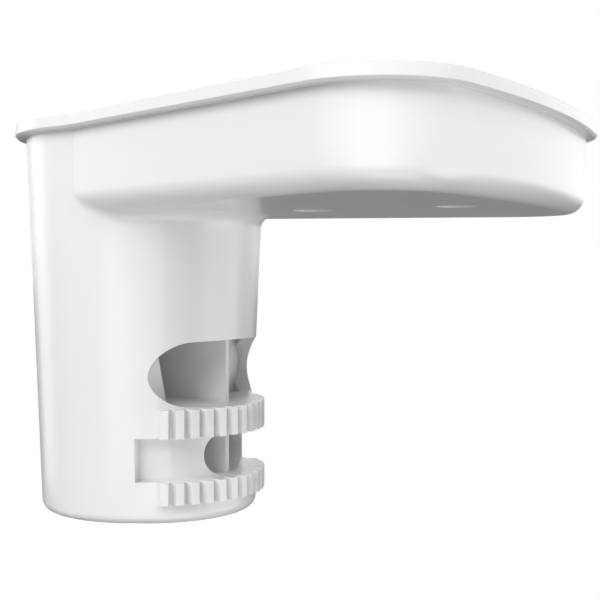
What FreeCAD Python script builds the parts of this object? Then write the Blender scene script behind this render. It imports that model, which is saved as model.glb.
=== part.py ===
"""Ceiling mount bracket for a room detector, moulded in one piece.

A fan-shaped hollow body screws to the ceiling behind a thin rim. A hollow
tapered column hangs from its narrow end. Low on the side that faces the room,
the column has an open mouth for the cable and, under it, two toothed bands
with a groove between them, where the detector's clamp turns and locks.

Lengths are in millimetres. The ceiling is the plane z = 0, the origin lies
midway between the two ceiling screws, and the column hangs towards -Z.
"""
import FreeCAD, Part
import math
import os

Vector = FreeCAD.Vector
DOWN = Vector(0, 0, -1)
UP = Vector(0, 0, 1)

# Ceiling screws
screw_spacing = 24.0          # between the two screws, along X
screw_hole_radius = 2.1       # clearance for a 4 mm screw
screw_head_radius = 3.3       # recess that swallows the screw's head
screw_seat = 2.5              # plastic left under the head, at the ceiling
boss_wall = 1.7               # wall of the tube around each recess

# Rim that lies on the ceiling
rim_thickness = 2.0
rim_overhang = 1.8
rim_edge_break = 0.35         # on its lower edge
rim_waist_round = 9.0         # where the round end runs into the straight sides

# Fan-shaped body
column_setback = 44.0         # from the origin back to the column's axis
body_depth = 14.5             # ceiling to underside
body_reach = 69.5             # column's axis to the far end of the body
side_distance = 18.7          # column's axis to each straight side
side_spread = 19.7            # degrees that each side turns out
end_bow_radius = 197.0        # shallow bow of the far end
corner_radius = 11.4
body_draft = 1.5              # degrees
underside_round = 3.0
wall = 2.0
floor_splay = 1.0             # inside corner between floor and wall

# Column
column_length = 63.4          # ceiling to the lower end
column_radius = 20.0          # just under the rim
column_draft = 2.5            # degrees
column_foot_round = 1.6
junction_round = 2.4          # where the body runs into the column
well_floor = 2.5              # plastic left at the bottom of the rear well

# Turning axis of the detector's clamp, a little in front of the column's axis
clamp_offset = 2.5
clamp_half_angle = 67.5       # degrees to each side of the centre line

# Toothed bands and the groove between them
upper_band_depth = 45.5       # ceiling to the upper face of the upper band
upper_band_height = 4.5
groove_height = 6.8
groove_core_radius = 14.0
band_root_radius = 16.3
band_run_out = 72.0           # degrees; here the bands' root has sunk into the column
band_embed = 3.0              # how far the bands reach in behind the groove's core
tooth_depth = 1.5
tooth_count = 14              # on each band
tooth_pitch = 8.0             # degrees
tooth_tip_share = 0.50        # of the pitch
tooth_root_share = 0.90       # of the pitch
lower_tooth_height = 3.45     # the lower teeth stop above the rounded end

# Mouth above the upper band
mouth_half_width = 15.1
mouth_height = 10.5
mouth_draft = 3.0             # degrees, for the mould's slide
mouth_depth_plane = 9.3       # column's axis to where the slide stops

# Socket in the groove's core
socket_half_width = 5.7
socket_edge = 0.06            # left above and below it
socket_depth = 11.0

# Ribs
web_thickness = 1.0           # upright web on the centre line
web_front = 16.1              # its front edge, from the column's axis
rib_depth = 7.5               # ceiling to the top of the ribs
rib_thickness = 1.2
gusset_thickness = 2.0
gusset_height = 23.0          # above the mouth's floor
gusset_foot_gap = 7.4         # centre line to the gusset's foot

# Places worked out from the sizes above
column_x = -column_setback
clamp_x = column_x + clamp_offset
tooth_tip_radius = band_root_radius + tooth_depth
groove_top = -(upper_band_depth + upper_band_height)
groove_bottom = groove_top - groove_height
column_bottom = -column_length
mouth_middle = -upper_band_depth + mouth_height / 2
body_floor = -(body_depth - wall)
screw_places = (-screw_spacing / 2, screw_spacing / 2)
boss_radius = screw_head_radius + boss_wall
overlap = 0.5                 # how far joined shapes run into each other
clear = 5.0                   # how far cutting shapes run past the part
far = 200.0                   # longer than the part
touch = 0.02                  # how near counts as touching
edge_samples = 7              # points looked at on each edge
shortest_edge = 0.0001


def tan_degrees(angle):
    return math.tan(math.radians(angle))


def column_radius_at(z):
    """Outer radius of the tapered column at height z."""
    return column_radius - (-z - rim_thickness) * tan_degrees(column_draft)


mouth_reach = column_radius_at(-upper_band_depth) - mouth_depth_plane
mouth_floor = -upper_band_depth + mouth_reach * tan_degrees(mouth_draft)


def mirrored(point):
    return Vector(point.x, -point.y, point.z)


def fan_wire(offset, z):
    """Outline of the body, moved outwards by offset: a round end about the
    column's axis, two straight sides that spread, and a bowed far end."""
    spread = math.radians(side_spread)
    along = Vector(math.cos(spread), -math.sin(spread), 0)
    outward = Vector(-math.sin(spread), -math.cos(spread), 0)
    centre = Vector(column_x, 0, z)
    distance = side_distance + offset
    corner = corner_radius + offset
    bow = end_bow_radius + offset
    far_end = centre + Vector(body_reach + offset, 0, 0)
    bow_centre = far_end - Vector(bow, 0, 0)

    start = centre + outward * distance
    inner_start = centre + outward * (distance - corner)
    gap = inner_start - bow_centre
    reach = gap.dot(along)
    run = -reach + math.sqrt(reach ** 2 - gap.dot(gap) + (bow - corner) ** 2)
    corner_centre = inner_start + along * run
    to_bow = corner_centre - bow_centre
    to_bow.normalize()
    side_end = corner_centre + outward * corner
    bow_start = corner_centre + to_bow * corner
    halfway = outward + to_bow
    halfway.normalize()
    corner_middle = corner_centre + halfway * corner

    back = centre - Vector(distance, 0, 0)
    edges = [
        Part.Arc(mirrored(start), back, start).toShape(),
        Part.LineSegment(start, side_end).toShape(),
        Part.Arc(side_end, corner_middle, bow_start).toShape(),
        Part.Arc(bow_start, far_end, mirrored(bow_start)).toShape(),
        Part.Arc(mirrored(bow_start), mirrored(corner_middle), mirrored(side_end)).toShape(),
        Part.LineSegment(mirrored(side_end), mirrored(start)).toShape(),
    ]
    return Part.Wire(edges)


def drafted_fan(upper_offset, top, bottom):
    """The outline drawn in evenly by the draft, from top down to bottom."""
    lower_offset = upper_offset - (top - bottom) * tan_degrees(body_draft)
    return Part.makeLoft([fan_wire(upper_offset, top), fan_wire(lower_offset, bottom)], True, True)


def edges_where(shape, test):
    """Edges of a shape for which every sampled point passes the test."""
    chosen = []
    for edge in shape.Edges:
        if edge.Length < shortest_edge:
            continue
        points = edge.discretize(edge_samples)
        if all(test(point) for point in points):
            chosen.append(edge)
    return chosen


def tapered_column(inset, top, bottom):
    """A cone that follows the column's surface, moved in by inset."""
    cone = Part.makeCone(
        column_radius_at(bottom) - inset,
        column_radius_at(top) - inset,
        top - bottom,
        Vector(column_x, 0, bottom),
        UP,
    )
    cone.rotate(Vector(column_x, 0, 0), UP, 180)
    return cone


def solid_body():
    """The body and the column before they are hollowed out."""
    fan = drafted_fan(0, 0, -body_depth)
    rounded = edges_where(fan, lambda p: abs(p.z + body_depth) < touch)
    fan = fan.makeFillet(underside_round, rounded)

    column = tapered_column(0, 0, column_bottom)
    foot = edges_where(column, lambda p: abs(p.z - column_bottom) < touch)
    column = column.makeFillet(column_foot_round, foot)

    joined = fan.fuse(column)

    def on_junction(point):
        away = math.hypot(point.x - column_x, point.y)
        if abs(away - column_radius_at(point.z)) > touch:
            return False
        return -body_depth - touch < point.z < touch and point.x > column_x

    junction = edges_where(joined, on_junction)
    junction = [edge for edge in junction if not edge_lies_flat_at(edge, 0)]
    return joined.makeFillet(junction_round, junction)


def edge_lies_flat(edge):
    heights = [point.z for point in edge.discretize(edge_samples)]
    return max(heights) - min(heights) < touch


def edge_lies_flat_at(edge, z):
    return all(abs(vertex.Z - z) < touch for vertex in edge.Vertexes)


def rim_plate():
    """The thin rim, a little larger all round than the body."""
    end_radius = column_radius + rim_overhang
    fan = Part.Face(fan_wire(rim_overhang, 0)).extrude(DOWN * rim_thickness)
    round_end = Part.makeCylinder(end_radius, rim_thickness, Vector(column_x, 0, 0), DOWN)
    round_end.rotate(Vector(column_x, 0, 0), UP, 180)
    rim = fan.fuse(round_end).removeSplitter()

    def in_waist(point):
        away = math.hypot(point.x - column_x, point.y)
        return abs(away - end_radius) < touch and point.x > column_x - column_radius / 2

    upright = [edge for edge in edges_where(rim, in_waist) if not edge_lies_flat(edge)]
    rim = rim.makeFillet(rim_waist_round, upright)
    lower_edge = edges_where(rim, lambda p: abs(p.z + rim_thickness) < touch)
    return rim.makeChamfer(rim_edge_break, lower_edge)


def body_cavity():
    """The space inside the body, open towards the ceiling."""
    top = clear
    upper_offset = -wall + clear * tan_degrees(body_draft)
    cavity = drafted_fan(upper_offset, top, body_floor)
    floor_edge = edges_where(cavity, lambda p: abs(p.z - body_floor) < touch)
    return cavity.makeChamfer(floor_splay, floor_edge)


def column_cavity():
    """The space inside the column. It stops at the mouth's floor in front, and
    runs on as a well behind the groove's core."""
    front = tapered_column(wall, clear, mouth_floor)
    well = tapered_column(wall, clear, column_bottom + well_floor)
    keep = Part.makeBox(far, 2 * far, 2 * far, Vector(clamp_x - far, -far, -far))
    return front.fuse(well.common(keep))


def slot_wire(x, half_width, half_height, middle_z):
    """An upright slot outline with round ends, in the plane of one x."""
    straight = half_width - half_height
    right_top = Vector(x, straight, middle_z + half_height)
    left_top = Vector(x, -straight, middle_z + half_height)
    right_bottom = Vector(x, straight, middle_z - half_height)
    left_bottom = Vector(x, -straight, middle_z - half_height)
    right_end = Vector(x, half_width, middle_z)
    left_end = Vector(x, -half_width, middle_z)
    return Part.Wire([
        Part.LineSegment(left_top, right_top).toShape(),
        Part.Arc(right_top, right_end, right_bottom).toShape(),
        Part.LineSegment(right_bottom, left_bottom).toShape(),
        Part.Arc(left_bottom, left_end, left_top).toShape(),
    ])


def mouth():
    """The slot through the column's front wall, drafted for the slide."""
    inner_x = column_x + mouth_depth_plane
    surface_x = column_x + column_radius_at(mouth_middle)
    outer_x = surface_x + clear
    slope = tan_degrees(mouth_draft)
    wires = []
    for x in (inner_x, outer_x):
        grow = (x - surface_x) * slope
        wires.append(slot_wire(x, mouth_half_width + grow, mouth_height / 2 + grow, mouth_middle))
    return Part.makeLoft(wires, True, True)


def ring_sector(profile_points, half_angle):
    """Turns a closed profile about the clamp's axis. Each of its pieces is two
    (radius, z) points for a line, or three for an arc."""
    edges = []
    for piece in profile_points:
        ends = [Vector(clamp_x + radius, 0, z) for radius, z in piece]
        if len(ends) == 3:
            edges.append(Part.Arc(*ends).toShape())
        else:
            edges.append(Part.LineSegment(*ends).toShape())
    face = Part.Face(Part.Wire(edges))
    face.rotate(Vector(clamp_x, 0, 0), UP, -half_angle)
    return face.revolve(Vector(clamp_x, 0, 0), UP, 2 * half_angle)


def plain_sector(inner, outer, bottom, top, half_angle):
    return ring_sector(
        [
            [(inner, bottom), (outer, bottom)],
            [(outer, bottom), (outer, top)],
            [(outer, top), (inner, top)],
            [(inner, top), (inner, bottom)],
        ],
        half_angle,
    )


def rounded_sector(inner, outer, bottom, top, edge_round, half_angle):
    """A sector whose outer lower edge is rounded."""
    turn = bottom + edge_round
    flat = outer - edge_round
    slant = edge_round * math.sqrt(0.5)
    return ring_sector(
        [
            [(inner, bottom), (flat, bottom)],
            [(flat, bottom), (flat + slant, turn - slant), (outer, turn)],
            [(outer, turn), (outer, top)],
            [(outer, top), (inner, top)],
            [(inner, top), (inner, bottom)],
        ],
        half_angle,
    )


def tooth_ring(bottom, top):
    """The upright teeth, as one solid that reaches in to the bands' root."""
    def place(radius, angle):
        turn = math.radians(angle)
        return Vector(clamp_x + radius * math.cos(turn), radius * math.sin(turn), bottom)

    inner = band_root_radius - overlap
    half_tip = tooth_pitch * tooth_tip_share / 2
    half_root = tooth_pitch * tooth_root_share / 2
    first = -tooth_pitch * (tooth_count - 1) / 2
    edges = []
    last = place(inner, first - half_root)
    for number in range(tooth_count):
        middle = first + tooth_pitch * number
        foot_left = place(band_root_radius, middle - half_root)
        tip_left = place(tooth_tip_radius, middle - half_tip)
        tip_middle = place(tooth_tip_radius, middle)
        tip_right = place(tooth_tip_radius, middle + half_tip)
        foot_right = place(band_root_radius, middle + half_root)
        edges.append(Part.LineSegment(last, foot_left).toShape())
        edges.append(Part.LineSegment(foot_left, tip_left).toShape())
        edges.append(Part.Arc(tip_left, tip_middle, tip_right).toShape())
        edges.append(Part.LineSegment(tip_right, foot_right).toShape())
        last = foot_right
    end = place(inner, -first + half_root)
    edges.append(Part.LineSegment(last, end).toShape())
    edges.append(Part.Arc(end, place(inner, 0), place(inner, first - half_root)).toShape())
    return Part.Face(Part.Wire(edges)).extrude(UP * (top - bottom))


def upper_band():
    """The upper band: its root, and the teeth round it."""
    top = -upper_band_depth
    inner = groove_core_radius - band_embed
    base = plain_sector(inner, band_root_radius, groove_top, top, band_run_out)
    return base.fuse(tooth_ring(groove_top, top))


def lower_band():
    """The lower band's root runs on down to the column's rounded foot."""
    inner = groove_core_radius - band_embed
    base = rounded_sector(
        inner, band_root_radius, column_bottom, groove_bottom, column_foot_round, band_run_out
    )
    return base.fuse(tooth_ring(groove_bottom - lower_tooth_height, groove_bottom))


def groove():
    """The groove that the clamp rides in, cut round the core."""
    return plain_sector(
        groove_core_radius, column_radius + clear, groove_bottom, groove_top, clamp_half_angle
    )


def socket():
    """The slot into the groove's core, as deep as the rear well allows."""
    middle = (groove_top + groove_bottom) / 2
    half_height = groove_height / 2 - socket_edge
    front = clamp_x + groove_core_radius
    wire = slot_wire(front - socket_depth, socket_half_width, half_height, middle)
    return Part.Face(wire).extrude(Vector(socket_depth + clear, 0, 0))


def centre_web():
    """The upright web on the centre line. It stiffens the column down to the
    mouth's floor, divides the mouth and the socket, and runs on as the
    body's middle rib."""
    top = -rib_depth
    front = column_x + web_front
    back = column_x - column_radius_at(-body_depth) + wall / 2
    in_column = Part.makeBox(
        front - back, web_thickness, top - column_bottom - well_floor + overlap,
        Vector(back, -web_thickness / 2, column_bottom + well_floor - overlap),
    )
    in_column = in_column.common(tapered_column(wall / 2, 0, column_bottom + well_floor / 2))
    in_body = Part.makeBox(
        column_x + body_reach - wall / 2 - back, web_thickness, top - body_floor + overlap,
        Vector(back, -web_thickness / 2, body_floor - overlap),
    )
    in_body = in_body.common(drafted_fan(-wall / 2, 0, -body_depth))
    return in_column.fuse(in_body)


def cross_rib(x):
    """A low rib across the body through one screw boss."""
    long_rib = Part.makeBox(
        rib_thickness, 2 * far, -rib_depth - body_floor + overlap,
        Vector(x - rib_thickness / 2, -far, body_floor - overlap),
    )
    return long_rib.common(drafted_fan(-wall / 2, 0, -body_depth))


def boss(x):
    """The tube that carries the body on its screw, from floor to ceiling."""
    return Part.makeCylinder(boss_radius, -body_floor + overlap, Vector(x, 0, body_floor - overlap), UP)


def screw_way(x):
    """The screw's hole and, below it, the recess for its head."""
    hole = Part.makeCylinder(screw_hole_radius, body_depth + 2 * clear, Vector(x, 0, clear), DOWN)
    recess = Part.makeCylinder(screw_head_radius, body_depth, Vector(x, 0, -screw_seat), DOWN)
    return hole.fuse(recess)


def gusset(side):
    """A wedge inside the column beside the mouth, wide at its foot."""
    front = column_x + mouth_depth_plane
    top_z = mouth_floor + gusset_height
    reach = column_radius
    foot = mouth_floor - overlap
    top_gap = math.sqrt((column_radius_at(top_z) - wall) ** 2 - mouth_depth_plane ** 2)
    points = [
        Vector(front, side * gusset_foot_gap, foot),
        Vector(front, side * reach, foot),
        Vector(front, side * reach, top_z),
        Vector(front, side * top_gap, top_z),
    ]
    outline = Part.makePolygon(points + points[:1])
    wedge = Part.Face(outline).extrude(Vector(-gusset_thickness, 0, 0))
    return wedge.common(tapered_column(wall / 2, 0, column_bottom))


def bracket():
    shape = solid_body().fuse(rim_plate())
    shape = shape.cut(body_cavity().fuse(column_cavity()))
    for side in (-1, 1):
        shape = shape.fuse(gusset(side))
    shape = shape.cut(mouth())
    shape = shape.cut(groove())
    shape = shape.cut(socket())
    shape = shape.fuse([upper_band(), lower_band(), centre_web()])
    for x in screw_places:
        shape = shape.fuse([boss(x), cross_rib(x)])
    for x in screw_places:
        shape = shape.cut(screw_way(x))
    return shape.removeSplitter()


os.makedirs("parts", exist_ok=True)
result = bracket()
solid = result.Solids[0]
solid.exportStep("parts/bracket_body.step")
print("solids", len(result.Solids), "valid", solid.isValid())
print("volume in cm3", round(solid.Volume / 1000, 2))
box = solid.BoundBox
print("box", [round(v, 2) for v in (box.XMin, box.YMin, box.ZMin, box.XMax, box.YMax, box.ZMax)])
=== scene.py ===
# %% [markdown]
# # A moulded ceiling bracket
# This lesson dresses a bracket that carries a small room detector under a
# ceiling. The real one is a single white plastic moulding, so the packed
# model has one node, and its form is already right. What Blender adds is the
# surface of the plastic, the light, and the view. Everything is in metres, in
# the model's own frame: the ceiling is the plane z = 0, and the column hangs
# down from it.

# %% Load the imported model
import math

import bpy
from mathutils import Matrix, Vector

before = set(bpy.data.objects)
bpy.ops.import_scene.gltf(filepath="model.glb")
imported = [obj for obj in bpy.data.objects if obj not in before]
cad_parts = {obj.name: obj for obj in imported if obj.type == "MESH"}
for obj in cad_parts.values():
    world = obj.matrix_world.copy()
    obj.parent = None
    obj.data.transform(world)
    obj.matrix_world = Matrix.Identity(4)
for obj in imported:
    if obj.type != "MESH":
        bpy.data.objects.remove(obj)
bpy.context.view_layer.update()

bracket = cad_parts["bracket_body"]
bpy.ops.object.select_all(action="DESELECT")

# %% [markdown]
# ## Smooth shading
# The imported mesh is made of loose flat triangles. On the real moulding the
# column is truly round, while the edges of the rim, the teeth and the mouth
# are crisp. Remodelling it would lose accuracy, so the mesh stays as it is
# and two modifiers shade it: Weld joins the triangles where they touch, and
# Edge Split keeps every edge sharp that turns by more than a set angle.

# %% Weld and split
bracket.data.shade_smooth()
weld = bracket.modifiers.new("join triangles", "WELD")
weld.merge_threshold = 0.000002        # in metres
split = bracket.modifiers.new("keep crisp edges", "EDGE_SPLIT")
split.use_edge_angle = True
split.split_angle = math.radians(24)
print("triangles", len(bracket.data.polygons))

# %% [markdown]
# ## Moulded ABS, spark-eroded satin
# The shell is white ABS, a common plastic for fittings indoors. Its mould was
# finished by spark erosion, which leaves a very fine, even grain. That grain
# gives the eye a satin surface: highlights are soft, yet still have an edge.
# A polished mould would give mirror highlights, and a painted part would show
# no depth. White ABS also lets a little light in under its skin, which keeps
# thin walls and deep slots from going black.

# %% Colour from hex
def linear(hex_colour):
    """sRGB hex, as a colour picker gives it, turned to linear values."""
    channels = []
    for place in (0, 2, 4):
        value = int(hex_colour[place:place + 2], 16) / 255
        channels.append(value / 12.92 if value <= 0.04045 else ((value + 0.055) / 1.055) ** 2.4)
    return (*channels, 1)


print("DEDEDE is linear", round(linear("DEDEDE")[0], 3))

# %% One helper that adds a node
def add_node(tree, kind, settings=None, **links):
    """Adds a node, gives its sockets their values, and links its inputs."""
    node = tree.nodes.new(kind)
    for name, value in (settings or {}).items():
        if name in node.inputs:
            node.inputs[name].default_value = value
        else:
            setattr(node, name, value)
    for name, source in links.items():
        tree.links.new(source, node.inputs[name.replace("_", " ")])
    return node


print("helpers ready: linear and add_node")

# %% Grain, and a slow drift in the gloss and the tint
moulded_abs = bpy.data.materials.new("moulded ABS, spark-eroded satin")
moulded_abs.use_nodes = True
tree = moulded_abs.node_tree
tree.nodes.clear()

place = add_node(tree, "ShaderNodeTexCoord").outputs["Object"]
# Spark erosion leaves grain about 0.05 mm wide. It is drawn at 0.25 mm,
# because finer grain would not show at this size of picture.
grain = add_node(
    tree, "ShaderNodeTexNoise",
    {"Scale": 1 / 0.00025, "Detail": 2.0, "Roughness": 0.6},
    Vector=place,
)
# The melt cools unevenly behind the ribs, so the gloss drifts over 30 mm.
drift = add_node(
    tree, "ShaderNodeTexNoise",
    {"Scale": 1 / 0.03, "Detail": 0.0},
    Vector=place,
)
gloss = add_node(
    tree, "ShaderNodeMapRange",
    {"From Min": 0.3, "From Max": 0.7, "To Min": 0.25, "To Max": 0.27},
    Value=drift.outputs["Fac"],
)
tint = add_node(tree, "ShaderNodeMix", {"data_type": "RGBA"}, Factor=drift.outputs["Fac"])
# A Mix node has a pair of inputs for each type: 6 and 7 are its two colours.
tint.inputs[6].default_value = linear("DFDFDF")
tint.inputs[7].default_value = linear("DEDEDE")
print("gloss drifts over", round(1000 / drift.inputs["Scale"].default_value), "mm")

# %% The plastic's surface
# No moulded edge is truly sharp: this rounds the shading over 0.15 mm.
edge = add_node(tree, "ShaderNodeBevel", {"samples": 6, "Radius": 0.00015})
relief = add_node(
    tree, "ShaderNodeBump",
    {"Strength": 0.12, "Distance": 0.00003},
    Height=grain.outputs["Fac"],
    Normal=edge.outputs["Normal"],
)
plastic = add_node(
    tree, "ShaderNodeBsdfPrincipled",
    {
        "IOR": 1.54,
        "Subsurface Weight": 0.05,
        "Subsurface Radius": (0.0012, 0.0011, 0.0010),
        "Subsurface Scale": 1.0,
    },
    Base_Color=tint.outputs[2],
    Roughness=gloss.outputs["Result"],
    Normal=relief.outputs["Normal"],
)
add_node(tree, "ShaderNodeOutputMaterial", Surface=plastic.outputs["BSDF"])

bracket.data.materials.clear()
bracket.data.materials.append(moulded_abs)
print("material", bracket.material_slots[0].material.name)

# %% [markdown]
# ## Camera
# The picture was taken from a little below the ceiling, level, and from close
# by: the column's sides stay upright while the rim's two ends fall away. A
# camera that is turned only about the upright axis keeps uprights upright, and
# a small shift frames the part, as a view camera's rising front does.

# %% Place the camera
camera_data = bpy.data.cameras.new("view")
camera = bpy.data.objects.new("view", camera_data)
bpy.context.scene.collection.objects.link(camera)
camera.location = (0.07166, -0.15851, -0.024165)
camera.rotation_euler = (math.radians(90), 0, math.radians(28.494))
camera_data.sensor_width = 36
camera_data.lens = 68.52
camera_data.shift_y = -0.0462
camera_data.clip_start = 0.01
bpy.context.scene.camera = camera
print("lens", camera_data.lens, "mm")

# %% [markdown]
# ## Floor and room
# The part hangs 1.2 m over a plain pale floor, in a white studio. To the
# camera both are plain white, which Light Path tells apart from the light
# that reaches the part. The room is white in reflections too. The floor shows
# its own paint there, because the underside mirrors it at a shallow angle and
# is a quiet grey on the real part.

# %% Colour as written
view = bpy.context.scene.view_settings
view.view_transform = "Standard"
print("view transform", view.view_transform)

# %% The floor
bpy.ops.mesh.primitive_plane_add(size=80, location=(0, 0, -1.2))
floor = bpy.context.object
floor.name = "floor"

pale_floor = bpy.data.materials.new("pale painted floor")
pale_floor.use_nodes = True
tree = pale_floor.node_tree
tree.nodes.clear()
ray = add_node(tree, "ShaderNodeLightPath")
paint = add_node(tree, "ShaderNodeBsdfDiffuse", {"Color": linear("959595")})
glow = add_node(tree, "ShaderNodeEmission", {"Color": linear("FFFFFF"), "Strength": 1.0})
seen = add_node(tree, "ShaderNodeMixShader", Fac=ray.outputs["Is Camera Ray"])
tree.links.new(paint.outputs["BSDF"], seen.inputs[1])
tree.links.new(glow.outputs["Emission"], seen.inputs[2])
add_node(tree, "ShaderNodeOutputMaterial", Surface=seen.outputs["Shader"])
floor.data.materials.append(pale_floor)
print("floor at", floor.location.z, "m")

# %% The white room
room = bpy.data.worlds.new("white room")
bpy.context.scene.world = room
room.use_nodes = True
tree = room.node_tree
tree.nodes.clear()
ray = add_node(tree, "ShaderNodeLightPath")
fill = add_node(tree, "ShaderNodeBackground", {"Color": linear("FFFFFF"), "Strength": 0.03})
white = add_node(tree, "ShaderNodeBackground", {"Color": linear("FFFFFF"), "Strength": 1.0})
is_seen = ray.outputs["Is Camera Ray"]
for kind in ("Is Glossy Ray", "Is Transmission Ray"):
    either = add_node(tree, "ShaderNodeMath", {"operation": "MAXIMUM"})
    tree.links.new(is_seen, either.inputs[0])
    tree.links.new(ray.outputs[kind], either.inputs[1])
    is_seen = either.outputs["Value"]
seen = add_node(tree, "ShaderNodeMixShader", Fac=is_seen)
tree.links.new(fill.outputs["Background"], seen.inputs[1])
tree.links.new(white.outputs["Background"], seen.inputs[2])
add_node(tree, "ShaderNodeOutputWorld", Surface=seen.outputs["Shader"])
print("room strength", fill.inputs["Strength"].default_value)

# %% [markdown]
# ## Softboxes
# Large soft lamps wrap the part in even light. The main one stands high to
# the left. A low wide strip in front draws the long highlight down the column
# and the upright one on the body's corner. A low card lights the teeth from
# below, and another, on the right, opens up the front of the column and the
# mouth. The rest keep the edges soft. The one behind is for views of the far
# side: it stands high, because the underside would mirror a low one.

# %% A softbox that faces the column
aim = Vector((-0.03, 0, -0.03))
softbox_distance = 1.0                 # from the part, in metres


def softbox(name, azimuth, elevation, width, height, power):
    """A rectangular lamp that faces the part from that direction."""
    around = math.radians(azimuth)
    up = math.radians(elevation)
    level = math.cos(up)
    offset = Vector((level * math.cos(around), level * math.sin(around), math.sin(up)))
    lamp_data = bpy.data.lights.new(name, "AREA")
    lamp_data.shape = "RECTANGLE"
    lamp_data.size = width
    lamp_data.size_y = height
    lamp_data.energy = power
    lamp = bpy.data.objects.new(name, lamp_data)
    bpy.context.scene.collection.objects.link(lamp)
    lamp.location = aim + offset * softbox_distance
    lamp.rotation_euler = (-offset).to_track_quat("-Z", "Y").to_euler()
    print(name, "at", [round(value, 2) for value in lamp.location], "m")


# %% Place the softboxes
softbox("key, high left", azimuth=-112, elevation=30, width=1.1, height=0.6, power=9.3)
softbox("strip, front", azimuth=-68, elevation=-5, width=1.1, height=0.4, power=2.6)
softbox("card, low front", azimuth=-45, elevation=-50, width=1.1, height=0.6, power=4.3)
softbox("fill, high front", azimuth=-60, elevation=45, width=0.8, height=0.5, power=1.7)
softbox("fill, high right", azimuth=-20, elevation=45, width=0.9, height=0.7, power=5.4)
softbox("strip, right back", azimuth=60, elevation=5, width=1.2, height=0.4, power=1.0)
softbox("strip, left back", azimuth=180, elevation=10, width=0.5, height=0.9, power=2.2)
softbox("fill, behind", azimuth=125, elevation=45, width=1.2, height=0.5, power=6.0)
softbox("card, low right", azimuth=28, elevation=-15, width=0.9, height=0.5, power=3.6)
